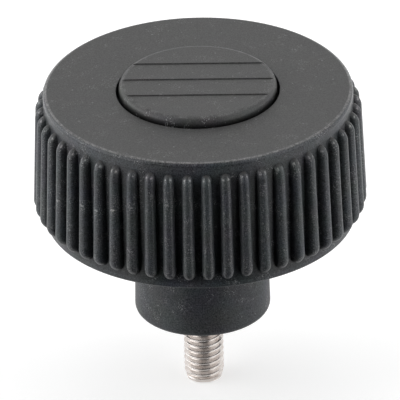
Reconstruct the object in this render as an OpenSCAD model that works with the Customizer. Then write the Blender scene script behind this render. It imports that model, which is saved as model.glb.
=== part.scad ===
// Knurled grip knob: a moulded head with a ribbed skirt and a hub,
// a threaded stud held in the hub by its hexagon, and a snap-in cover cap.
// Millimetres, +Z up. The origin is on the axis, in the plane where the hub seats.

/* [Head] */
// Diameter over the ribs at their lower end
grip_d = 50; // [42:1:80]
// Height of the head, from the skirt's lower edge to the top face
head_h = 21.2; // [16:0.2:40]
// Thickness of the skirt's wall
skirt_wall = 2.6; // [2:0.1:5]
// Draft of the skirt's wall in degrees, narrower towards the top
skirt_draft = 0.2; // [0:0.1:3]
// Thickness of the top plate
top_wall = 3.2; // [2.4:0.1:6]
// Rounding of the top face's outer edge
top_edge_r = 0.6; // [0.2:0.1:1.2]
// Rounding of the skirt's lower edge
skirt_edge_r = 0.4; // [0.2:0.1:1]

/* [Ribs] */
// Number of ribs around the skirt
rib_count = 52; // [24:1:56]
// Width of a rib at its lower end
rib_w = 1.85; // [1.3:0.05:2.2]
// Width of a rib at its upper end
rib_top_w = 1.6; // [1.2:0.05:2.2]
// How far a rib stands out of the skirt near its lower end
rib_h = 1.7; // [0.9:0.05:1.8]
// Draft of the rib crests in degrees, besides what the taper of the width adds
rib_draft = 1.6; // [0:0.1:4]
// Radius at which a rib's crest rolls over at its lower end
rib_roll = 2; // [1.9:0.1:3]
// Height from the skirt's lower edge to where the crests start to roll over
crest_below = 3.6; // [3:0.1:6]
// Height from where the crests start to roll over to the top face
crest_above = 3.7; // [3:0.1:6]
// Turn of the first rib from the front, in degrees
rib_phase = 2.3; // [0:0.01:15]

/* [Hub] */
// Diameter of the hub at its seat, before the edge is rounded
hub_d = 20.4; // [16:0.1:26]
// Diameter of the hub where it enters the head
hub_waist_d = 19.9; // [15:0.1:26]
// How far the hub stands out below the head
hub_h = 15.8; // [6:0.2:30]
// Rounding of the hub's edge at its seat
hub_edge_r = 1; // [0.3:0.1:2]

/* [Underside] */
// Number of webs between the hub and the skirt
web_count = 6; // [3:1:8]
// Thickness of a web
web_t = 2; // [1.5:0.1:3]
// How far the webs stay inside the skirt's lower edge
web_setback = 2; // [0:0.5:5]
// Fillet at the roots of the cored-out space
core_r = 1; // [0.5:0.1:1.5]

/* [Cover cap] */
// Diameter of the cap
cap_d = 23.7; // [20:0.1:30]
// Gap all round between the cap and the mouth of its recess
cap_gap = 0.4; // [0.2:0.05:0.8]
// How far the cap stands proud of the top face
cap_proud = 1.4; // [0.5:0.1:3]
// Rounding of the cap's upper edge
cap_edge_r = 1; // [0.4:0.1:1.4]
// Thickness of the cap's plate
cap_plate = 2.2; // [1.6:0.1:3]
// Thickness of the cap's outer rim
cap_rim = 1.6; // [1:0.1:2.5]
// Depth of the cap's recess in the top face
recess_depth = 2.4; // [1.6:0.1:5]
// Thickness of the wall that holds the cap's recess
recess_wall = 2.4; // [1.8:0.1:3]
// Number of grooves across the cap
groove_count = 3; // [1:1:5]
// Distance from groove to groove
groove_pitch = 4.95; // [3:0.05:5]
// Width of a groove
groove_w = 1.6; // [0.6:0.1:2.4]
// Depth of a groove
groove_depth = 0.15; // [0.1:0.05:0.8]
// Turn of the grooves about the axis, in degrees
groove_turn = -1.4; // [-180:0.1:180]

/* [Snap ring] */
// Outer diameter of the snap ring under the cap
snap_d = 16; // [13.4:0.2:18]
// Thickness of the snap ring
snap_wall = 1.1; // [0.8:0.1:1.2]
// Depth of the well that takes the snap ring, below the recess
well_depth = 2.4; // [1.8:0.1:5]
// How far the bead on the snap ring stands out
snap_bead = 0.25; // [0.1:0.05:0.4]
// Width of the slots that part the snap ring into fingers
snap_slot = 3; // [1:0.5:4]
// Clearance round the snap ring and below it
snap_gap = 0.1; // [0.05:0.05:0.2]

/* [Stud] */
// Outer diameter of the stud's thread
thread_d = 6; // [5:1:6]
// Length of thread that stands out below the hub
thread_l = 12; // [8:0.5:40]
// Length of the tapered lead-in at the tip
lead_l = 1.5; // [0.5:0.1:3]
// Diameter of the tip's flat end
tip_d = 5.2; // [3:0.1:5.6]
// Diameter of the plain shank inside the hub
shank_d = 8; // [7:0.1:9]
// Width across the flats of the stud's hexagon
hexagon_w = 10; // [9.4:0.1:11]
// Height of the stud's hexagon
hexagon_h = 4; // [3:0.1:6]
// Chamfer of the hexagon's upper corners
hexagon_chamfer = 0.5; // [0.2:0.1:1]
// Clearance of the shank and the hexagon in the hub, each side
stud_gap = 0.05; // [0:0.01:0.1]

/* [Hidden] */
$fn = 96;
arc_steps = 8;          // straight steps that stand for one rounded corner of a turned profile
rib_fn = 24;            // facets round a rib's crest
overlap = 1;            // how far a cutter runs past the face that it opens
boss_edge_r = 0.5;      // rounding of the boss that holds the cap's recess
core_edge_r = 0.3;      // rounding of the skirt's inner lower edge
mouth_edge_r = 0.15;    // rounding of the mouth of the cap's recess

top_z = hub_h + head_h;
recess_z = top_z - recess_depth;
well_z = recess_z - well_depth;
pocket_z = well_z - hexagon_h;
cap_z = top_z + cap_proud;
plate_z = cap_z - cap_plate;

skirt_r = grip_d / 2 - rib_h + crest_below * tan(skirt_draft);
skirt_top_r = skirt_r - head_h * tan(skirt_draft);
roof_z = top_z - top_wall;
core_low_r = skirt_r - skirt_wall;
core_high_r = core_low_r - (roof_z - hub_h) * tan(skirt_draft);

recess_r = cap_d / 2 + cap_gap;
boss_r = recess_r + recess_wall;
boss_z = recess_z - recess_wall;

well_r = snap_d / 2 + snap_gap;
bore_r = shank_d / 2 + stud_gap;
ring_z = well_z + snap_gap;
ring_in_r = snap_d / 2 - snap_wall;
bead_z = ring_z + 3 * snap_bead;

rib_r = rib_w / 2;
rib_top_r = rib_top_w / 2;
rib_axis = rib_roll - rib_r;
rib_low_z = hub_h + crest_below;
rib_l = (head_h - crest_below - crest_above) / cos(rib_draft);
rib_root = skirt_wall / 2;

function unit(v) = v / norm(v);

// Points along the arc of radius r that rounds the corner p between a and b
function corner_arc(a, p, b, r) =
    r == 0 ? [p] :
    let (
        u = unit(a - p),
        v = unit(b - p),
        half = acos(u * v) / 2,
        centre = p + unit(u + v) * r / sin(half),
        first = p + u * r / tan(half) - centre,
        last = p + v * r / tan(half) - centre,
        start = atan2(first[1], first[0]),
        sweep = (atan2(last[1], last[0]) - start + 540) % 360 - 180
    )
    [for (i = [0:arc_steps]) let (turn = start + sweep * i / arc_steps) centre + r * [cos(turn), sin(turn)]];

// Outline whose corners are [radius, height, rounding]
function rounded(corners) =
    let (n = len(corners), p = [for (c = corners) [c[0], c[1]]])
    [for (i = [0:n - 1]) each corner_arc(p[(i + n - 1) % n], p[i], p[(i + 1) % n], corners[i][2])];

function reverse(list) = [for (i = [len(list) - 1:-1:0]) list[i]];

// Triangular bead of a snap joint on a wall of radius r, from its lower to its upper end
function bead(r, gap) = [
    [r, bead_z - 2 * snap_bead - gap, 0],
    [r + snap_bead, bead_z - snap_bead / 2 - gap, 0],
    [r + snap_bead, bead_z + snap_bead / 2 + gap, 0],
    [r, bead_z + 2 * snap_bead + gap, 0]
];

module turned(corners) {
    rotate_extrude() polygon(rounded(corners));
}

module hexagon(width, height) {
    cylinder(d = width / cos(30), h = height, $fn = 6);
}

// Wall section of the head and the hub, turned round the axis
module shell() {
    turned(concat(
        [
            [bore_r, 0, 0],
            [hub_d / 2, 0, hub_edge_r],
            [hub_waist_d / 2, hub_h, 0],
            [hub_waist_d / 2, boss_z, core_r],
            [boss_r, boss_z, boss_edge_r],
            [boss_r, roof_z, boss_edge_r],
            [core_high_r, roof_z, core_r],
            [core_low_r, hub_h, core_edge_r],
            [skirt_r, hub_h, skirt_edge_r],
            [skirt_top_r, top_z, top_edge_r],
            [recess_r, top_z, mouth_edge_r],
            [recess_r, recess_z, 0],
            [well_r, recess_z, 0]
        ],
        reverse(bead(well_r, snap_gap)),
        [
            [well_r, well_z, 0],
            [bore_r, well_z, 0]
        ]
    ));
}

// Section of a rib's end with a full-round crest of radius r
module rib_section(r) {
    translate([rib_axis, 0]) circle(r, $fn = rib_fn);
    translate([0, -r]) square([rib_axis, 2 * r]);
}

// One rib, upright, with its crest towards +X and the lower roll's centre at the origin
module rib() {
    translate([-rib_root, 0, 0])
        rotate([90, 0, 90])
            linear_extrude(rib_root + rib_axis)
                polygon([[-rib_r, 0], [rib_r, 0], [rib_top_r, rib_l], [-rib_top_r, rib_l]]);
    translate([rib_axis, 0, 0]) cylinder(r1 = rib_r, r2 = rib_top_r, h = rib_l, $fn = rib_fn);
    translate([0, 0, rib_l]) rotate([90, 0, 0]) rotate_extrude(angle = 90) rib_section(rib_top_r);
    rotate([-90, 0, 0]) rotate_extrude(angle = 90) rib_section(rib_r);
}

module ribs() {
    for (i = [0:rib_count - 1])
        rotate([0, 0, rib_phase - 90 + i * 360 / rib_count])
            translate([grip_d / 2 - rib_roll, 0, rib_low_z])
                rotate([0, -rib_draft, 0])
                    rib();
}

// One web towards +X, its upper edge sunk into the boss and the top plate
module web() {
    in_r = hub_waist_d / 2 - overlap;
    out_r = core_high_r + skirt_wall / 2;
    web_z = hub_h + web_setback;
    rotate([90, 0, 0])
        linear_extrude(web_t, center = true)
            polygon([
                [in_r, web_z],
                [out_r, web_z],
                [out_r, roof_z + top_wall / 2],
                [boss_r - overlap, roof_z + top_wall / 2],
                [boss_r - overlap, boss_z + recess_wall / 2],
                [in_r, boss_z + recess_wall / 2]
            ]);
}

module webs() {
    for (i = [0:web_count - 1])
        rotate([0, 0, 90 + i * 360 / web_count])
            web();
}

module knob_body() {
    color([0.17, 0.17, 0.175])
        difference() {
            union() {
                shell();
                ribs();
                webs();
            }
            translate([0, 0, pocket_z]) hexagon(hexagon_w + 2 * stud_gap, hexagon_h + overlap);
        }
}

// Plate, rim and snap ring of the cap, turned round the axis
module cap_blank() {
    turned(concat(
        [
            [0, plate_z, 0],
            [ring_in_r, plate_z, 0],
            [ring_in_r, ring_z, 0],
            [snap_d / 2, ring_z, 0]
        ],
        bead(snap_d / 2, 0),
        [
            [snap_d / 2, plate_z, 0],
            [cap_d / 2 - cap_rim, plate_z, 0],
            [cap_d / 2 - cap_rim, recess_z, 0],
            [cap_d / 2, recess_z, 0],
            [cap_d / 2, cap_z, cap_edge_r],
            [0, cap_z, 0]
        ]
    ));
}

function groove_y(i) = (i - (groove_count - 1) / 2) * groove_pitch;

module grooves() {
    rotate([0, 0, groove_turn])
        for (i = [0:groove_count - 1])
            translate([-cap_d, groove_y(i) - groove_w / 2, cap_z - groove_depth])
                cube([2 * cap_d, groove_w, groove_depth + overlap]);
}

// Crossed slots that part the snap ring into four fingers
module snap_slots() {
    for (turn = [0, 90])
        rotate([0, 0, turn])
            translate([-snap_d / 2 - overlap / 2, -snap_slot / 2, ring_z - overlap])
                cube([snap_d + overlap, snap_slot, plate_z - ring_z + overlap]);
}

module cover_cap() {
    color([0.18, 0.18, 0.185])
        difference() {
            cap_blank();
            grooves();
            snap_slots();
        }
}

module threaded_stud() {
    color([0.76, 0.73, 0.7]) {
        turned([
            [0, -thread_l, 0],
            [tip_d / 2, -thread_l, 0],
            [thread_d / 2, -thread_l + lead_l, 0],
            [thread_d / 2, 0, 0],
            [shank_d / 2, 0, 0],
            [shank_d / 2, pocket_z + hexagon_h / 2, 0],
            [0, pocket_z + hexagon_h / 2, 0]
        ]);
        translate([0, 0, pocket_z])
            intersection() {
                hexagon(hexagon_w, hexagon_h);
                turned([
                    [0, 0, 0],
                    [hexagon_w, 0, 0],
                    [hexagon_w / 2 + 2 * hexagon_chamfer, hexagon_h - hexagon_chamfer, 0],
                    [hexagon_w / 2, hexagon_h, 0],
                    [0, hexagon_h, 0]
                ]);
            }
    }
}

knob_body();
cover_cap();
threaded_stud();
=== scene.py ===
"""Looks of the knurled knob: moulded plastic body, snap-in cap and threaded steel stud in a soft studio."""

import math

import bmesh
import bpy
from mathutils import Matrix, Vector


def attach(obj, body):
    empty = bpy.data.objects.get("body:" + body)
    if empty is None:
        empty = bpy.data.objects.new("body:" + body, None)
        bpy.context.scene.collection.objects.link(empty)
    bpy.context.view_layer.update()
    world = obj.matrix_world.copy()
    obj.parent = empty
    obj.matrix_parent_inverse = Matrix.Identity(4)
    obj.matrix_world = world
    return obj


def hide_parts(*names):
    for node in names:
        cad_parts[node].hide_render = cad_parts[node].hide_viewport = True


MM = 0.001

# Stud, in millimetres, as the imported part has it
THREAD_R = 3.0
THREAD_PITCH = 1.0
THREAD_DEPTH = 0.6134 * THREAD_PITCH
CREST_CLEARANCE = 0.015  # the rolled crests stay this far inside the nominal thread
THREAD_TURN = 0.22  # share of a turn by which the thread is turned
TIP_Z = -12.0
TIP_R = 2.6
LEAD_L = 1.5
SHANK_R = 4.0
HEXAGON_W = 10.0
HEXAGON_Z = 28.2
HEXAGON_H = 4.0
HEXAGON_CHAMFER = 0.5

# How finely the stud is meshed
COLUMNS = 144  # points round it, a multiple of 12 to meet the hexagon's corners and mid-flats
CHAMFER_STEPS = 6
SPARE_TURNS = 2  # turns of the thread beyond each end, which fall together there
MERGE_DISTANCE = 0.0002  # millimetres between points that are made one
SHARP_ANGLE = 35  # degrees from which an edge is drawn sharp

# Thread form from one root to the next: share of the pitch, share of the depth below the crest
THREAD_FORM = [
    (0.0, 1.0),
    (0.045, 0.985),
    (0.085, 0.92),
    (0.16, 0.706),
    (0.235, 0.49),
    (0.31, 0.275),
    (0.385, 0.07),
    (0.41, 0.018),
    (0.44, 0.0),
    (0.5, 0.0),
    (0.56, 0.0),
    (0.59, 0.018),
    (0.615, 0.07),
    (0.69, 0.275),
    (0.765, 0.49),
    (0.84, 0.706),
    (0.915, 0.92),
    (0.955, 0.985),
]

# Places on the plastic, in millimetres and degrees. A pair is where a change begins and ends,
# and a third number is how softly a band fades beyond its pair.
TOP_Z = 37.0
INNER_RADIUS = (22.8, 23.1)  # the hub and the top face end here
OUTER_RADIUS = (22.6, 22.8)  # the top face's rounded edge and the skirt's outside begin here
EDGE_ROUNDING = (TOP_Z - 0.8, TOP_Z - 0.6)  # heights from which that edge is rounded and shines more
EDGE_LINE = (22.74, 22.92, 0.14)  # radii between which the painted highlight line runs
EDGE_LINE_Z = (TOP_Z - 0.4, TOP_Z - 0.25)
ABOVE_RIBS = (34.6, 35.4)  # heights of the plain bands above and below the ribs
BELOW_RIBS = (16.6, 17.2)
RIB_STEP = 360 / 52
RIB_PHASE = 2.3
CREST_R = 24.9
ROOT_TO_CREST_RADIUS = (23.4, 24.8)  # from the roots of the ribs to near their crests
RIB_RADIUS = (23.6, 24.0)  # the ribs stand out of the skirt here
SHOULDER = (0.3, 0.6, 0.15)  # from a rib's middle, where the painted sparkle runs
GLINT = (0.34, 0.58, 0.14)  # from a rib's middle, where the painted glints sit
GLINT_Z = (34.5, 35.2, 0.3)
SCUFF_SIZE = (0.35, 0.7)
SCUFF_SPECKS = (1.5, 4.0)  # how far round a scuff the specks reach
SCUFF_FLATNESS = 2.5  # a scuff is this much wider than it is high
SCUFFS = [  # angle and height of each scuff
    (-149.5, 25.45),
    (-135.9, 27.1),
    (-129.0, 27.2),
    (-122.2, 28.2),
    (-115.1, 29.3),
    (-102.0, 30.5),
]
GAP_RADIUS = (12.6, 12.9)  # the body's side of the gap round the cap lies inside these
GAP_FLOOR = (30.0, 31.0)  # heights from which the gap's painted shade sets in
GAP_MOUTH = (TOP_Z - 0.2, TOP_Z - 0.05)
# Heights over which the painted shade in the gap fades out up the cap's wall
CAP_FOOT = (TOP_Z - 0.2, TOP_Z + 0.8)
CAP_FACE = (TOP_Z + 1.1, TOP_Z + 1.2)
CAP_FACE_RADIUS = (10.8, 11.0)
# Radii of the painted highlight along the edge of the cap's face
CAP_EDGE_LINE = (11.05, 11.4, 0.15)
GROOVE_TURN = -1.4
GROOVE_PITCH = 4.95
GROOVE_WALL = 0.8  # from the middle of a groove to its back wall
GROOVES_END = (7.0, 7.3)  # beyond the walls of the outer grooves

# Shades that the colour is multiplied by
INNER_SHADE = 0.9  # of the hub and the top face
ROOT_PAINTED_SHADE_CREST_WEAR = (0.7, 1.08)  # painted shade at the roots of the ribs, and their crests worn paler
CAP_SHADE = 0.94
GAP_PAINTED_SHADE = 0.15  # painted shade deep in the gap round the cap
GROOVE_PAINTED_SHADE = (0.1, 0.35, 0.86, 1.0)  # distances from a groove's back wall, and the painted shade at each
GROOVE_WALL_PAINTED_LIGHT = 1.4  # painted light on the grooves' walls

# Patterns on the plastic: size in millimetres, and the levels of the noise from which it begins
# to show and shows in full. Two more numbers are how much shows at each.
CLUSTERS = (2.0, 0.55, 0.66)
SPECKS = (0.18, 0.60, 0.74)
DUST = (0.5, 0.815, 0.855)
STREAKS = (0.7, 0.35, 0.65, 0.35, 1.0)
PATCHES = (5.0, 0.4, 0.6)
BREAKS = (0.3, 0.35, 0.55)
# The next pattern breaks the painted highlight on the cap's edge into patches
CAP_EDGE_BREAKS = (1.6, 0.4, 0.6)

# How much of each mark there is
DUST_SHARE = 0.4
# Specks in the painted highlight on the top face's edge, and painted sparkle on the rib shoulders
EDGE_SPECKS = 0.9
SHOULDER_SPECKS = 0.9
GLINT_SHARE = 0.7
SCUFF_SHARE = 0.8
# The painted highlight on the edge of the cap's face, and the specks in it
CAP_EDGE_SHARE = 0.28
CAP_EDGE_SPECKS = 0.4

# Grain of the plastic. Sizes are in millimetres, and a pair is for upright and for level faces.
FACING = (0.6, 0.95)  # upward part of the normal: upright up to the first, level from the second
FINE_SIZE = 0.19
FINE_GRAIN = (2.0, 1.1)
CAP_FINE_GRAIN = (0.9, 1.1)
COARSE_SIZE = 0.62
COARSE_GRAIN = (0.3, 0.1)
TINT_SIZE = 4.0
TINT_SHARE = (0.28, 0.05)
SPECK_SHARE = (0.85, 0.3)
BUMP_SIZE = 0.24
BUMP_DEPTH = 0.012
BUMP_STRENGTH = 0.7

# Shine of the plastic
SPECULAR = 0.35
IOR = 1.5
UNEVEN_SHINE = 0.2
ROUGH_RADIUS = (12.0, 22.0)  # from the hub to the skirt
ROUGH_UPRIGHT = (0.5, 0.34)  # of the hub and of the skirt
ROUGH_LEVEL = 0.45
ROUGH_EDGE = 0.24
CAP_ROUGH = (0.32, 0.45)  # of its side and of its face

# Colours of the plastic
SIDE_COLOUR = (0.055, 0.060, 0.065, 1.0)
CAP_SIDE_COLOUR = (0.060, 0.060, 0.061, 1.0)
TOP_COLOUR = (0.0594, 0.0594, 0.0594, 1.0)
# Painted highlight on the edges of the top face and of the cap's face
EDGE_HIGHLIGHT_COLOUR = (0.17, 0.17, 0.17, 1.0)
SPECK_COLOUR = (0.26, 0.265, 0.27, 1.0)
# Painted glints on the ribs' upper ends
GLINT_COLOUR = (0.4, 0.4, 0.4, 1.0)
SCUFF_COLOUR = (0.34, 0.34, 0.34, 1.0)

# Steel, sizes in millimetres
LINE_STRETCH = (0.12, 0.12, 1.0)  # drawn out round the axis
LINE_SIZE = 0.05
LINE_DEPTH = 0.004
LINE_STRENGTH = 0.12
LINE_ROUGH = (0.21, 0.1)  # roughness, and what the lines add to it
STAIN_SIZE = 1.2
STAIN_LEVEL = (0.3, 0.75)
STAINED_STEEL = (0.67, 0.615, 0.58, 1.0)
CLEAN_STEEL = (0.84, 0.80, 0.775, 1.0)

# Camera, in millimetres and degrees
CAMERA_TARGET = (-0.064, 0.0, 18.108)
CAMERA_DISTANCE = 2400.0
CAMERA_ELEVATION = 28.815
CAMERA_ROLL = -1.318
CAMERA_CLIP = (50.0, 20000.0)
PIXELS_PER_MM = 6.66
IMAGE_WIDTH = 400
SENSOR_WIDTH = 36.0

# Light of the studio, where 1 is white
TENT_MIDDLE = 1.63  # at the horizon
TENT_TOP = 1.23  # straight above
TENT_DIP = 0.8  # what the tent loses straight behind the object
PANEL_LEFT = 1.35  # what the panel on the left adds
PANEL_EDGE = (-1.0, -0.65)  # cosines of the angle to the right at which it is full and ends
OPENING_AIM = -0.02  # the opening points this much to the left of the front
OPENING_EDGE = (0.764, 0.834)  # cosines of the angle to the front at which it is closed and open
OPENING_DEPTH = 0.95
FLOOR_REACH = 2000.0  # millimetres from the axis to the paper's edges
FLOOR_PAPER = 0.8
FLOOR_GLOW = 0.3  # added to the paper where it is mirrored
FLOOR_WHITE = 0.42  # added where the camera sees it
CLOTH_START = (5.0, 11.0)  # millimetres from the axis between which the cloth begins
CLOTH_SPREAD = (18.0, 34.0)  # and between which it widens to the opening
CLOTH_NARROW = 0.13  # cosine by which its edges are drawn in nearer the axis
CLOTH_NEAR = 0.65  # how dark it is there
CLOTH_AIM = 0.15  # and how much further to the right it lies there


# ---------------------------------------------------------------- node trees


class Tree:
    """A node tree that is built one node at a time."""

    def __init__(self, owner):
        owner.use_nodes = True
        self.tree = owner.node_tree
        self.tree.nodes.clear()

    def node(self, kind, inputs=None, **settings):
        """A node with these inputs, each a value or another node's socket."""
        made = self.tree.nodes.new(kind)
        for name, value in settings.items():
            setattr(made, name, value)
        for name, value in (inputs or {}).items():
            if isinstance(value, bpy.types.NodeSocket):
                self.tree.links.new(value, made.inputs[name])
            else:
                made.inputs[name].default_value = value
        return made

    def math(self, operation, a, b=0.0):
        return self.node("ShaderNodeMath", {0: a, 1: b}, operation=operation).outputs[0]

    def times(self, first, *factors):
        """The product of all the factors."""
        for factor in factors:
            first = self.math("MULTIPLY", first, factor)
        return first

    def vector(self, operation, inputs):
        return self.node("ShaderNodeVectorMath", inputs, operation=operation).outputs["Vector"]

    def scaled(self, vector, scale):
        return self.vector("SCALE", {0: vector, "Scale": scale})

    def measure(self, operation, inputs):
        """A number that follows from vectors: a length, a distance or a dot product."""
        return self.node("ShaderNodeVectorMath", inputs, operation=operation).outputs["Value"]

    def dot(self, a, b):
        return self.measure("DOT_PRODUCT", {0: a, 1: b})

    def smooth(self, value, low, high, to_low=0.0, to_high=1.0):
        """Goes smoothly from to_low to to_high as the value goes from low to high."""
        inputs = {"Value": value, "From Min": low, "From Max": high, "To Min": to_low, "To Max": to_high}
        made = self.node("ShaderNodeMapRange", inputs, interpolation_type="SMOOTHSTEP", clamp=True)
        return made.outputs["Result"]

    def between(self, share, at_none, at_full):
        """Goes smoothly from one number to another as the share goes from 0 to 1."""
        return self.smooth(share, 0.0, 1.0, at_none, at_full)

    def mix(self, share, a, b):
        made = self.node("ShaderNodeMix", {"Factor": share, 6: a, 7: b}, data_type="RGBA")
        return made.outputs[2]

    def place(self):
        """The point on the object, so that a pattern stays with it."""
        return self.node("ShaderNodeTexCoord").outputs["Object"]

    def noise(self, vector, size_mm, detail=2.0, roughness=0.5, output="Fac"):
        inputs = {"Vector": vector, "Scale": 1 / (size_mm * MM), "Detail": detail, "Roughness": roughness}
        return self.node("ShaderNodeTexNoise", inputs).outputs[output]

    def bump(self, height, strength, depth_mm):
        inputs = {"Height": height, "Strength": strength, "Distance": depth_mm * MM}
        return self.node("ShaderNodeBump", inputs).outputs["Normal"]

    def rays(self):
        """What tells the camera's own rays, and what tells those of mirrors and of glass."""
        path = self.node("ShaderNodeLightPath").outputs
        mirrored = self.math("MAXIMUM", path["Is Glossy Ray"], path["Is Transmission Ray"])
        return path["Is Camera Ray"], mirrored

    def surface(self, inputs):
        shader = self.node("ShaderNodeBsdfPrincipled", inputs)
        self.node("ShaderNodeOutputMaterial", {"Surface": shader.outputs["BSDF"]})


# ---------------------------------------------------------------- plastic


class Plastic(Tree):
    """Satin black polyamide: a fine grain, faint patches, and sparse bright specks in clusters."""

    def __init__(self, material, side_colour):
        super().__init__(material)
        self.spot = self.place()
        self.point = self.scaled(self.spot, 1 / MM)  # in millimetres
        parts = self.node("ShaderNodeSeparateXYZ", {0: self.point}).outputs
        self.x, self.y, self.z = parts["X"], parts["Y"], parts["Z"]
        level = self.node("ShaderNodeCombineXYZ", {0: self.x, 1: self.y}).outputs[0]
        self.radius = self.measure("LENGTH", {0: level})
        normal = self.node("ShaderNodeNewGeometry").outputs["Normal"]
        self.upward = self.smooth(self.dot(normal, (0.0, 0.0, 1.0)), *FACING)
        self.colour = self.mix(self.upward, side_colour, TOP_COLOUR)
        self.specked = self.pattern(CLUSTERS)

    def pattern(self, kind, detail=1.0):
        size_mm, *levels = kind
        return self.smooth(self.noise(self.spot, size_mm, detail=detail), *levels)

    def by_facing(self, upright, level):
        """One number on upright faces and another on level ones."""
        return self.between(self.upward, upright, level)

    def band(self, value, low, high, soft):
        """1 between low and high, falling to 0 within soft outside them."""
        rise = self.smooth(value, low - soft, low)
        return self.times(rise, self.smooth(value, high, high + soft, 1.0, 0.0))

    def from_nearest(self, value, first, step, step_mm):
        """Millimetres to the nearest of a row that starts at first, where a step is step_mm long."""
        share = self.math("DIVIDE", self.math("SUBTRACT", value, first), step)
        share = self.math("SUBTRACT", self.math("FRACT", self.math("ADD", share, 0.5)), 0.5)
        return self.times(self.math("ABSOLUTE", share), step_mm)

    def shade(self, factor):
        self.colour = self.scaled(self.colour, factor)

    def lighten(self, share, colour):
        self.colour = self.mix(share, self.colour, colour)

    def speck(self, share):
        """Lets the share of bright specks rise to at least this."""
        self.specked = self.math("MAXIMUM", self.specked, share)

    def add_tint(self):
        """Patches with a faint tint, each channel a little above or below 1."""
        tint = self.noise(self.spot, TINT_SIZE, detail=1.0, output="Color")
        tint = self.vector("SUBTRACT", {0: tint, 1: (0.5, 0.5, 0.5)})
        tint = self.scaled(tint, self.by_facing(*TINT_SHARE))
        tint = self.vector("ADD", {0: tint, 1: (1.0, 1.0, 1.0)})
        self.colour = self.vector("MULTIPLY", {0: self.colour, 1: tint})

    def add_grain(self, fine_grain):
        fine = self.math("SUBTRACT", self.noise(self.spot, FINE_SIZE, detail=0.0), 0.5)
        coarse = self.math("SUBTRACT", self.noise(self.spot, COARSE_SIZE, detail=1.0), 0.5)
        fine = self.times(fine, self.by_facing(*fine_grain))
        coarse = self.times(coarse, self.by_facing(*COARSE_GRAIN))
        self.shade(self.math("ADD", 1.0, self.math("ADD", fine, coarse)))

    def add_specks(self):
        """Bright specks where the clusters and marks call for them, and a few lone grains of dust."""
        amount = self.times(self.specked, self.by_facing(*SPECK_SHARE))
        self.lighten(self.times(self.pattern(SPECKS, detail=0.0), amount), SPECK_COLOUR)
        self.lighten(self.times(self.pattern(DUST, detail=0.0), DUST_SHARE), SPECK_COLOUR)

    def finish(self, rough, fine_grain):
        """Lays the textures over the marks and sets the surface."""
        self.add_tint()
        self.add_grain(fine_grain)
        self.add_specks()
        grain = self.noise(self.spot, BUMP_SIZE, detail=3.0, roughness=0.65)
        uneven = self.times(self.math("SUBTRACT", grain, 0.5), UNEVEN_SHINE)
        inputs = {
            "Base Color": self.colour,
            "Roughness": self.math("ADD", rough, uneven),
            "Specular IOR Level": SPECULAR,
            "IOR": IOR,
            "Normal": self.bump(grain, BUMP_STRENGTH, BUMP_DEPTH),
        }
        self.surface(inputs)


def shade_body(t):
    """Painted shade at the rib roots and deep in the gap round the cap; crests worn paler; hub and top face
    toned darker.
    """
    inside = t.smooth(t.radius, *INNER_RADIUS, INNER_SHADE, 0.0)
    beyond = t.math("ADD", t.smooth(t.z, *ABOVE_RIBS), t.smooth(t.z, *BELOW_RIBS, 1.0, 0.0))
    beyond = t.times(beyond, t.smooth(t.radius, *OUTER_RADIUS))
    # Painted shade at the roots of the ribs, crests worn paler; the hub, top face and plain bands keep
    # their own tone
    root_shade_and_crest_wear = t.smooth(t.radius, *ROOT_TO_CREST_RADIUS, *ROOT_PAINTED_SHADE_CREST_WEAR)
    t.shade(t.math("MAXIMUM", root_shade_and_crest_wear, t.math("MAXIMUM", inside, beyond)))

    # Painted shade deep in the gap round the cap
    gap = t.times(t.smooth(t.radius, *GAP_RADIUS, 1.0, 0.0), t.smooth(t.z, *GAP_FLOOR))
    gap = t.times(gap, t.smooth(t.z, *GAP_MOUTH, 1.0, 0.0))
    t.shade(t.between(gap, 1.0, GAP_PAINTED_SHADE))


def paint_edge_highlight(t):
    """Paints a highlight line along the edge of the top face, broken into streaks and specks."""
    rim = t.times(t.band(t.radius, *EDGE_LINE), t.smooth(t.z, *EDGE_LINE_Z))
    t.lighten(t.times(rim, t.pattern(STREAKS)), EDGE_HIGHLIGHT_COLOUR)
    t.speck(t.times(rim, EDGE_SPECKS))


def paint_rib_glints(t, broken):
    """Painted glints on the shoulders of the ribs' upper ends, and painted sparkle in patches along all
    shoulders.
    """
    turn = t.math("DEGREES", t.math("ARCTAN2", t.y, t.x))
    aside = t.from_nearest(turn, RIB_PHASE, RIB_STEP, math.radians(RIB_STEP) * CREST_R)
    outside = t.smooth(t.radius, *RIB_RADIUS)
    glint = t.times(t.band(aside, *GLINT), t.band(t.z, *GLINT_Z), outside)
    t.lighten(t.times(glint, t.times(broken, GLINT_SHARE)), GLINT_COLOUR)
    t.speck(glint)
    # Painted sparkle in patches along the shoulders of the ribs
    shoulder = t.times(t.band(aside, *SHOULDER), outside)
    t.speck(t.times(shoulder, t.pattern(PATCHES), SHOULDER_SPECKS))


def scuff(t, broken):
    """Pale scuffs on the crests, with specks round them."""
    flat = t.vector("MULTIPLY", {0: t.point, 1: (1.0, 1.0, SCUFF_FLATNESS)})
    for angle, height in SCUFFS:
        x, y = CREST_R * math.cos(math.radians(angle)), CREST_R * math.sin(math.radians(angle))
        away = t.measure("DISTANCE", {0: flat, 1: (x, y, SCUFF_FLATNESS * height)})
        mark = t.times(t.smooth(away, *SCUFF_SIZE, 1.0, 0.0), broken, SCUFF_SHARE)
        t.lighten(mark, SCUFF_COLOUR)
        t.speck(t.smooth(away, *SCUFF_SPECKS, 1.0, 0.0))


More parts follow.
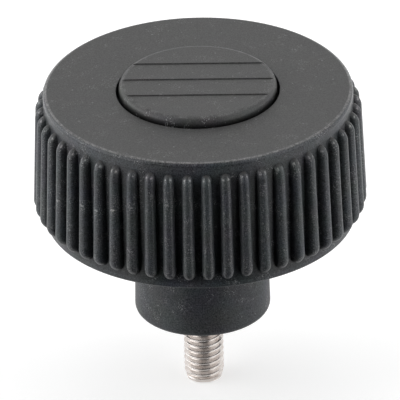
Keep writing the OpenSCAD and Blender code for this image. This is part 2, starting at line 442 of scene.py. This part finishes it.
def body_plastic(name):
    """The body's plastic: a painted highlight on the top face's edge, painted shade at the rib roots,
    crests worn paler.
    """
    material = bpy.data.materials.new(name)
    t = Plastic(material, SIDE_COLOUR)
    shade_body(t)
    paint_edge_highlight(t)
    broken = t.pattern(BREAKS)
    paint_rib_glints(t, broken)
    scuff(t, broken)

    rounding = t.times(t.smooth(t.radius, *OUTER_RADIUS), t.smooth(t.z, *EDGE_ROUNDING))
    rough = t.by_facing(t.smooth(t.radius, *ROUGH_RADIUS, *ROUGH_UPRIGHT), ROUGH_LEVEL)
    t.finish(t.between(rounding, rough, ROUGH_EDGE), FINE_GRAIN)
    return material


def cap_plastic(name):
    """The cap's plastic: painted shade in the gap, painted shade and light along its grooves, a painted
    highlight on its face's edge.
    """
    material = bpy.data.materials.new(name)
    t = Plastic(material, CAP_SIDE_COLOUR)
    # Painted shade where the cap's wall goes down into the gap
    t.shade(t.smooth(t.z, *CAP_FOOT, GAP_PAINTED_SHADE, CAP_SHADE))

    turn = math.radians(GROOVE_TURN)
    across = t.dot(t.point, (-math.sin(turn), math.cos(turn), 0.0))
    grooved = t.smooth(t.math("ABSOLUTE", across), *GROOVES_END, 1.0, 0.0)
    grooved = t.times(grooved, t.smooth(t.radius, *CAP_FACE_RADIUS, 1.0, 0.0), t.smooth(t.z, *CAP_FACE))
    # Painted shade on the groove floors beside each back wall, and painted light on the walls
    from_wall = t.from_nearest(across, GROOVE_WALL, GROOVE_PITCH, GROOVE_PITCH)
    soft = t.by_facing(GROOVE_WALL_PAINTED_LIGHT, t.smooth(from_wall, *GROOVE_PAINTED_SHADE))
    t.shade(t.between(grooved, 1.0, soft))

    # A painted highlight along the edge of the cap's face, broken into patches
    edge = t.times(t.band(t.radius, *CAP_EDGE_LINE), t.upward)
    broken_highlight = t.times(t.pattern(CAP_EDGE_BREAKS, detail=2.0), CAP_EDGE_SHARE)
    t.lighten(t.times(edge, broken_highlight), EDGE_HIGHLIGHT_COLOUR)
    t.speck(t.times(edge, CAP_EDGE_SPECKS))
    t.finish(t.by_facing(*CAP_ROUGH), CAP_FINE_GRAIN)
    return material


# ---------------------------------------------------------------- stud


def steel(name):
    """Stainless steel, turned and rolled, with faint stains."""
    material = bpy.data.materials.new(name)
    t = Tree(material)
    place = t.place()
    along = t.node("ShaderNodeMapping", {"Vector": place, "Scale": LINE_STRETCH}).outputs["Vector"]
    lines = t.noise(along, LINE_SIZE, detail=3.0, roughness=0.6)
    clean = t.smooth(t.noise(place, STAIN_SIZE, detail=3.0), *STAIN_LEVEL)
    plain, added = LINE_ROUGH
    inputs = {
        "Base Color": t.mix(clean, STAINED_STEEL, CLEAN_STEEL),
        "Metallic": 1.0,
        "Roughness": t.math("ADD", plain, t.times(lines, added)),
        "Normal": t.bump(lines, LINE_STRENGTH, LINE_DEPTH),
    }
    t.surface(inputs)
    return material


def form_depth(share):
    """Share of the thread's depth below the crest at this share of the pitch."""
    share %= 1.0
    points = THREAD_FORM + [(1.0, THREAD_FORM[0][1])]
    (a, depth_a), (b, depth_b) = next(pair for pair in zip(points, points[1:]) if share <= pair[1][0])
    return depth_a + (depth_b - depth_a) * (share - a) / (b - a)


def thread_radius(z, share):
    """Radius of the thread at height z, cut by the cone that leads it in."""
    cone = TIP_R + (z - TIP_Z) * (THREAD_R - TIP_R) / LEAD_L
    return min(THREAD_R - CREST_CLEARANCE - THREAD_DEPTH * form_depth(share), cone)


def column_angle(j):
    return 2 * math.pi * j / COLUMNS


def vertex(bm, r, angle, z):
    """A vertex at this radius and height in millimetres."""
    return bm.verts.new((r * math.cos(angle) * MM, r * math.sin(angle) * MM, z * MM))


def ring(bm, z, radius_at):
    """A closed ring of vertices at height z, in millimetres."""
    angles = [column_angle(j) for j in range(COLUMNS)]
    return [vertex(bm, radius_at(angle), angle, z) for angle in angles]


def bridge(bm, low, high):
    """A band of faces between two rings."""
    for j in range(COLUMNS):
        k = (j + 1) % COLUMNS
        bm.faces.new((low[j], low[k], high[k], high[j]))


def close(bm, loop, z, facing_up):
    """A flat end from the loop to a point on the axis."""
    centre = bm.verts.new((0.0, 0.0, z * MM))
    for j in range(COLUMNS):
        k = (j + 1) % COLUMNS
        bm.faces.new((loop[j], loop[k], centre) if facing_up else (loop[k], loop[j], centre))


def thread(bm):
    """The helical thread, as rows that climb with it and are held between the tip and the hub."""
    per_turn = len(THREAD_FORM)
    turns = range(math.floor(TIP_Z / THREAD_PITCH) - SPARE_TURNS, SPARE_TURNS)
    grid = []
    for start in [n + share for n in turns for share, _ in THREAD_FORM]:
        line = []
        for j in range(COLUMNS):
            climb = j / COLUMNS + THREAD_TURN
            z = min(0.0, max(TIP_Z, (start + climb) * THREAD_PITCH))
            line.append(vertex(bm, thread_radius(z, z / THREAD_PITCH - climb), column_angle(j), z))
        grid.append(line)
    for i, (low, high) in enumerate(zip(grid, grid[1:])):
        for j in range(COLUMNS - 1):
            bm.faces.new((low[j], low[j + 1], high[j + 1], high[j]))
        next_turn = grid[i + per_turn : i + per_turn + 2]
        if len(next_turn) == 2:
            bm.faces.new((low[-1], next_turn[0][0], next_turn[1][0], high[-1]))


def hexagon_radius(angle):
    side = math.radians(60)
    return HEXAGON_W / 2 / math.cos(angle % side - side / 2)


def stud_levels():
    """Heights above the thread, each with the stud's radius there as a function of the angle."""
    levels = [(0.0, lambda angle: SHANK_R), (HEXAGON_Z, lambda angle: SHANK_R)]
    levels.append((HEXAGON_Z, hexagon_radius))
    corner_r = HEXAGON_W / 2 + 2 * HEXAGON_CHAMFER
    for i in range(CHAMFER_STEPS + 1):
        share = i / CHAMFER_STEPS
        z = HEXAGON_Z + HEXAGON_H - HEXAGON_CHAMFER * (1 - share)
        cone = corner_r + (HEXAGON_W / 2 - corner_r) * share
        levels.append((z, lambda angle, cone=cone: min(cone, hexagon_radius(angle))))
    return levels


def stud_mesh():
    bm = bmesh.new()
    thread(bm)

    def end_radius(z):
        return lambda angle: thread_radius(z, z / THREAD_PITCH - angle / 2 / math.pi - THREAD_TURN)

    close(bm, ring(bm, TIP_Z, end_radius(TIP_Z)), TIP_Z, facing_up=False)
    below = ring(bm, 0.0, end_radius(0.0))
    for z, radius_at in stud_levels():
        above = ring(bm, z, radius_at)
        bridge(bm, below, above)
        below = above
    close(bm, below, HEXAGON_Z + HEXAGON_H, facing_up=True)

    bmesh.ops.remove_doubles(bm, verts=bm.verts, dist=MERGE_DISTANCE * MM)
    loose = [v for v in bm.verts if not v.link_faces]
    bmesh.ops.delete(bm, geom=loose, context="VERTS")
    bmesh.ops.recalc_face_normals(bm, faces=bm.faces)
    mesh = bpy.data.meshes.new("steel_stud")
    bm.to_mesh(mesh)
    bm.free()
    mesh.polygons.foreach_set("use_smooth", [True] * len(mesh.polygons))
    mesh.set_sharp_from_angle(angle=math.radians(SHARP_ANGLE))
    return mesh


def add_stud():
    stud = bpy.data.objects.new("steel_stud", stud_mesh())
    bpy.context.scene.collection.objects.link(stud)
    stud.data.materials.append(steel("stud_steel_finish"))
    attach(stud, "root")
    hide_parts("threaded_stud")


# ---------------------------------------------------------------- studio


def add_world():
    """A white tent with a brighter panel on the left, open and dark in front."""
    world = bpy.data.worlds.new("studio")
    bpy.context.scene.world = world
    t = Tree(world)
    way = t.node("ShaderNodeTexCoord").outputs["Generated"]
    across = t.dot(way, (1.0, 0.0, 0.0))
    front = t.dot(way, (OPENING_AIM, -1.0, 0.0))
    height = t.dot(way, (0.0, 0.0, 1.0))

    flat = t.math("SQRT", t.math("SUBTRACT", 1.0, t.times(height, height)))
    opening = t.smooth(t.math("DIVIDE", front, flat), *OPENING_EDGE, 0.0, OPENING_DEPTH)
    closed = t.math("SUBTRACT", 1.0, opening)

    tent = t.between(height, TENT_MIDDLE, TENT_TOP)
    tent = t.math("ADD", tent, t.smooth(across, *PANEL_EDGE, PANEL_LEFT, 0.0))
    tent = t.math("SUBTRACT", tent, t.smooth(front, -1.0, 0.0, TENT_DIP, 0.0))

    seen, mirrored = t.rays()
    light = t.math("MAXIMUM", t.times(tent, closed), t.times(mirrored, closed))
    strength = t.node("ShaderNodeMix", {"Factor": seen, "A": light, "B": 1.0}).outputs["Result"]
    shader = t.node("ShaderNodeBackground", {"Color": (1.0, 1.0, 1.0, 1.0), "Strength": strength})
    t.node("ShaderNodeOutputWorld", {"Surface": shader.outputs["Background"]})


def cloth(t):
    """How much of the dark cloth lies on the floor, which carries on the opening in front."""
    away = t.vector("MULTIPLY", {0: t.place(), 1: (1.0, 1.0, 0.0)})
    way = t.vector("NORMALIZE", {0: away})
    distance = t.measure("LENGTH", {0: away})
    near = t.smooth(distance, CLOTH_SPREAD[0] * MM, CLOTH_SPREAD[1] * MM, 1.0, 0.0)
    aside = t.scaled((CLOTH_AIM, 0.0, 0.0), near)
    aim = t.vector("ADD", {0: (OPENING_AIM, -1.0, 0.0), 1: aside})
    forward = t.math("SUBTRACT", t.dot(way, aim), t.times(near, CLOTH_NARROW))
    share = t.times(t.smooth(forward, *OPENING_EDGE), t.between(near, 1.0, CLOTH_NEAR))
    return t.times(share, t.smooth(distance, CLOTH_START[0] * MM, CLOTH_START[1] * MM))


def floor_paper(name):
    """White paper; the cloth on it is there for the object and not for the camera."""
    material = bpy.data.materials.new(name)
    t = Tree(material)
    seen, mirrored = t.rays()
    paper = t.math("SUBTRACT", 1.0, t.times(cloth(t), t.math("SUBTRACT", 1.0, seen)))
    shown = t.times(mirrored, t.times(paper, FLOOR_GLOW))
    shown = t.math("ADD", shown, t.times(seen, FLOOR_WHITE))
    sheet = t.node("ShaderNodeBsdfDiffuse", {"Color": t.times(paper, FLOOR_PAPER)})
    glow = t.node("ShaderNodeEmission", {"Strength": shown})
    both = t.node("ShaderNodeAddShader", {0: sheet.outputs[0], 1: glow.outputs[0]})
    t.node("ShaderNodeOutputMaterial", {"Surface": both.outputs[0]})
    return material


def add_floor():
    reach = FLOOR_REACH * MM
    corners = [(-reach, -reach), (reach, -reach), (reach, reach), (-reach, reach)]
    mesh = bpy.data.meshes.new("floor")
    mesh.from_pydata([(x, y, TIP_Z * MM) for x, y in corners], [], [(0, 1, 2, 3)])
    mesh.materials.append(floor_paper("floor_paper"))
    floor = bpy.data.objects.new("floor", mesh)
    bpy.context.scene.collection.objects.link(floor)


def add_camera():
    elevation, roll = math.radians(CAMERA_ELEVATION), math.radians(CAMERA_ROLL)
    back = Vector((0.0, -math.cos(elevation), math.sin(elevation)))
    right = Vector((1.0, 0.0, 0.0))
    up = back.cross(right)
    turned_right = math.cos(roll) * right + math.sin(roll) * up
    turned_up = math.cos(roll) * up - math.sin(roll) * right
    place = (Vector(CAMERA_TARGET) + CAMERA_DISTANCE * back) * MM

    data = bpy.data.cameras.new("camera")
    data.sensor_width = SENSOR_WIDTH
    data.lens = PIXELS_PER_MM * CAMERA_DISTANCE / IMAGE_WIDTH * SENSOR_WIDTH
    data.clip_start, data.clip_end = (distance * MM for distance in CAMERA_CLIP)
    camera = bpy.data.objects.new("camera", data)
    bpy.context.scene.collection.objects.link(camera)
    turned = Matrix((turned_right, turned_up, back)).transposed().to_4x4()
    camera.matrix_world = Matrix.Translation(place) @ turned
    bpy.context.scene.camera = camera


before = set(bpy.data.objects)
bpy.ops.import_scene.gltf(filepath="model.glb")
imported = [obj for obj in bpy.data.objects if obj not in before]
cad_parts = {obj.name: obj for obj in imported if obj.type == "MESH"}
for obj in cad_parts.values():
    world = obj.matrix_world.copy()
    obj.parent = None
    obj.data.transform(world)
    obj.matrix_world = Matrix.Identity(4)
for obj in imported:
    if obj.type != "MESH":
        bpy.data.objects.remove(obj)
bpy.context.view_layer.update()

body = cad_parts["knob_body"]
body.material_slots[0].material = body_plastic("body_plastic_finish")
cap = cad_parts["cover_cap"]
cap.material_slots[0].material = cap_plastic("cap_plastic_finish")
add_stud()

add_world()
add_floor()
add_camera()
bpy.context.scene.view_settings.view_transform = "Standard"
